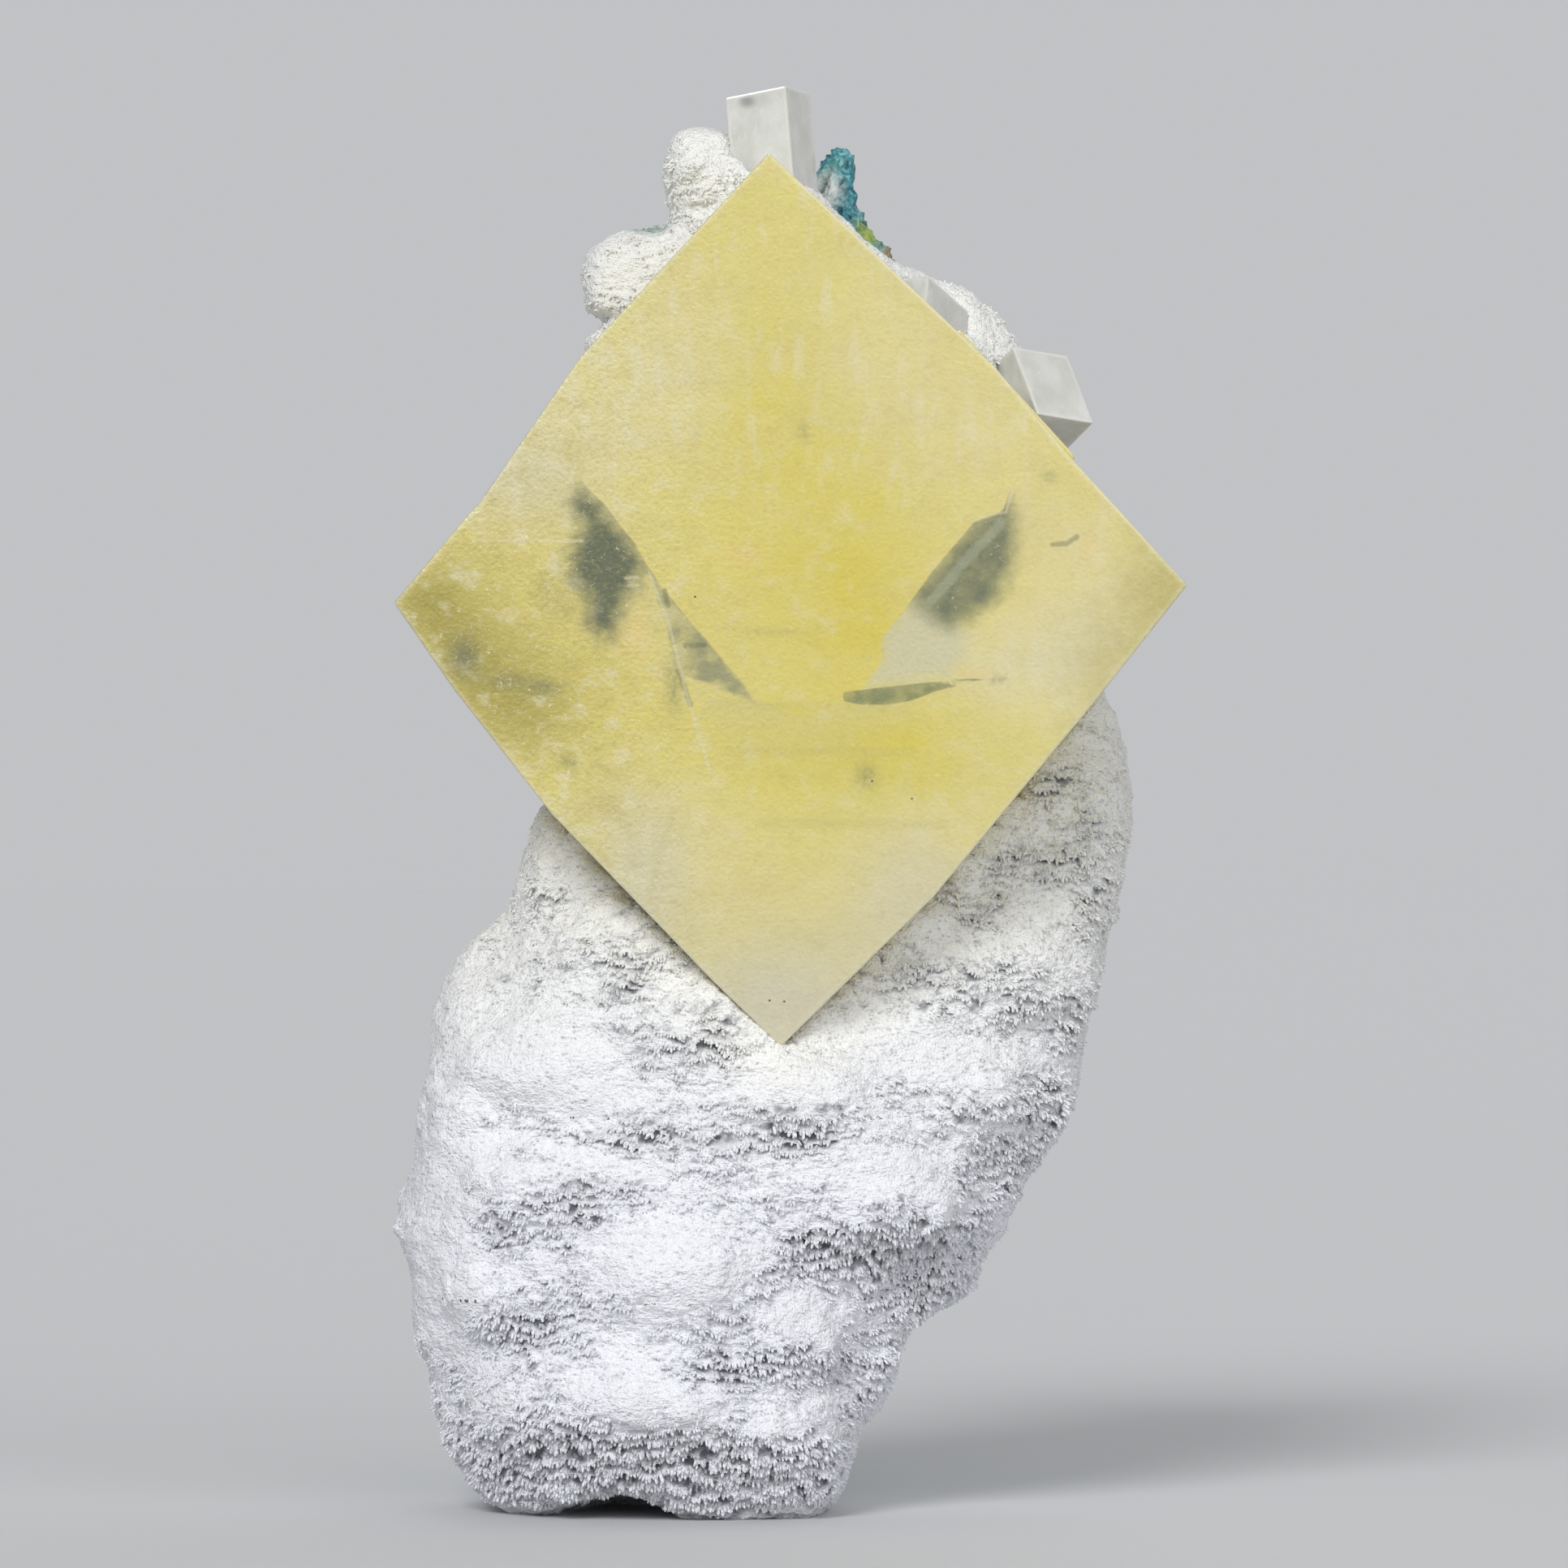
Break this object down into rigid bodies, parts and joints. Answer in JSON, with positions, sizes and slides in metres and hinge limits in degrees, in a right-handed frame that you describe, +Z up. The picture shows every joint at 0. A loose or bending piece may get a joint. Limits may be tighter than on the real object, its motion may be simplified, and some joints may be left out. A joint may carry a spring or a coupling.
{
  "type": "calcite on mordenite specimen",
  "caption": "Natural mineral specimen: a large flat-faced yellow calcite rhomb and small pale rhombs on a woolly white mordenite matrix with a blue-green rind behind.",
  "frame": {"origin": "middle of the specimen's bounding box in plan, on the surface that it stands on", "axes": "+Z up, +X to the viewer's right, the large calcite face towards -Y"},
  "size_m": [0.0816, 0.0674, 0.15],
  "materials": {
    "mordenite": "matt, woolly fibres",
    "calcite_yellow": "satin, cloudy and translucent",
    "calcite_pale": "glossy, translucent",
    "celadonite": "matt, pitted and granular"
  },
  "bodies": {
    "root": {"mordenite_matrix": "mordenite", "calcite_main": "calcite_yellow", "calcite_top": "calcite_pale", "calcite_right_upper": "calcite_pale", "calcite_right": "calcite_pale", "celadonite_rind": "celadonite"}
  },
  "joints": []
}
